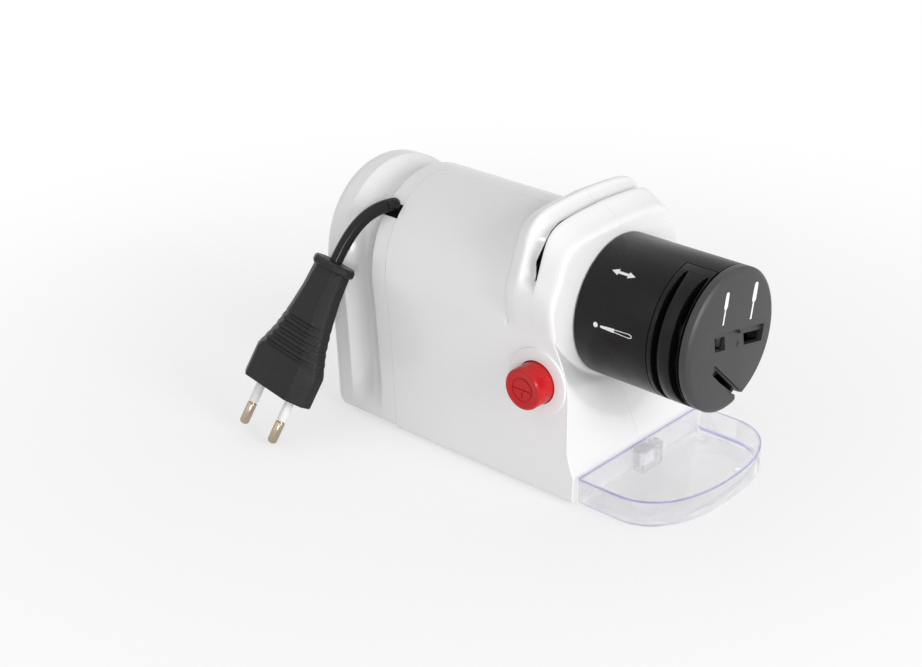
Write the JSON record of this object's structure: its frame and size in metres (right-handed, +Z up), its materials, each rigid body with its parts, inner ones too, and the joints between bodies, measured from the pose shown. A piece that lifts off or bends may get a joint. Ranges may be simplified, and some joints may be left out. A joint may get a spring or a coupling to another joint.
{
  "type": "electric knife sharpener",
  "caption": "Mains knife sharpener: arched clamshell housing with a blade groove over its head, side push button, turnable pull-off drum with tool slots, slide-out dust tray, corded plug",
  "frame": {"origin": "centre of the base, on the surface that the object stands on", "axes": "+X along the shaft out of the drum and over the dust tray, +Z up, so that the button faces -Y"},
  "size_m": [0.1889, 0.1271, 0.1095],
  "materials": {
    "white_plastic": "gloss moulded",
    "black_plastic": "fine satin texture",
    "red_plastic": "gloss moulded",
    "clear_plastic": "clear with a faint blue tint",
    "inner_plastic": "moulded",
    "cord_rubber": "smooth extruded",
    "foot_rubber": "moulded",
    "steel": "plated",
    "pin_metal": "nickel plated",
    "copper": "enamelled wire",
    "bush_metal": "sintered",
    "magnet": "sintered",
    "abrasive": "bonded grit"
  },
  "bodies": {
    "housing": {"housing_near": "white_plastic", "housing_far": "white_plastic", "rear_cover": "white_plastic", "housing_screw_1": "steel", "housing_screw_2": "steel", "housing_screw_3": "steel", "housing_screw_4": "steel", "cover_screw_near": "steel", "cover_screw_far": "steel", "foot_front_near": "foot_rubber", "foot_front_far": "foot_rubber", "foot_rear_near": "foot_rubber", "foot_rear_far": "foot_rubber", "cord_gland": "cord_rubber", "power_cord": "cord_rubber", "plug_body": "black_plastic", "plug_sleeve_1": "inner_plastic", "plug_sleeve_2": "inner_plastic", "plug_pin_1": "pin_metal", "plug_pin_2": "pin_metal", "inner_lead": "cord_rubber", "terminal_block": "inner_plastic", "motor_can": "steel", "motor_end_bell": "black_plastic", "motor_screw_near": "steel", "motor_screw_far": "steel", "bearing_front": "steel", "bearing_rear": "steel", "brush_near": "magnet", "brush_far": "magnet", "magnet_near": "magnet", "magnet_far": "magnet", "neck_bush": "bush_metal", "neck_ring": "black_plastic", "neck_screw_1": "steel", "neck_screw_2": "steel", "neck_screw_3": "steel", "neck_screw_4": "steel", "button_spring": "steel", "switch_body": "black_plastic"},
    "rotor": {"motor_shaft": "steel", "armature_core": "steel", "winding_front": "copper", "winding_rear": "copper", "commutator": "copper", "cooling_fan": "black_plastic", "head_wheel": "abrasive", "wheel_spacer": "steel", "drum_wheel": "abrasive", "wheel_washer": "steel", "wheel_nut": "steel"},
    "collar": {"turn_ring": "black_plastic"},
    "drum": {"drum_shell": "black_plastic", "knife_guide": "black_plastic", "end_cap": "black_plastic"},
    "button": {"power_button": "red_plastic", "switch_plunger": "inner_plastic"},
    "tray": {"dust_tray": "clear_plastic"}
  },
  "joints": [
    {"name": "motor_spin", "type": "hinge", "parent": "housing", "child": "rotor", "pos_m": [0, 0.0034, 0.0676], "axis": [1, 0, 0], "continuous": true},
    {"name": "drum_turn", "type": "hinge", "parent": "housing", "child": "collar", "pos_m": [0.038, 0.0034, 0.0676], "axis": [1, 0, 0], "range_deg": [-83, 161]},
    {"name": "drum_pull", "type": "slide", "parent": "collar", "child": "drum", "axis": [1, 0, 0], "range_m": [0, 0.055]},
    {"name": "button_press", "type": "slide", "parent": "housing", "child": "button", "axis": [0, 1, 0], "range_m": [0, 0.0025], "stiffness_N_per_m": 400, "springref_m": -0.002, "deforming": ["button_spring"]},
    {"name": "tray_pull", "type": "slide", "parent": "housing", "child": "tray", "axis": [1, 0, 0], "range_m": [0, 0.04]}
  ]
}
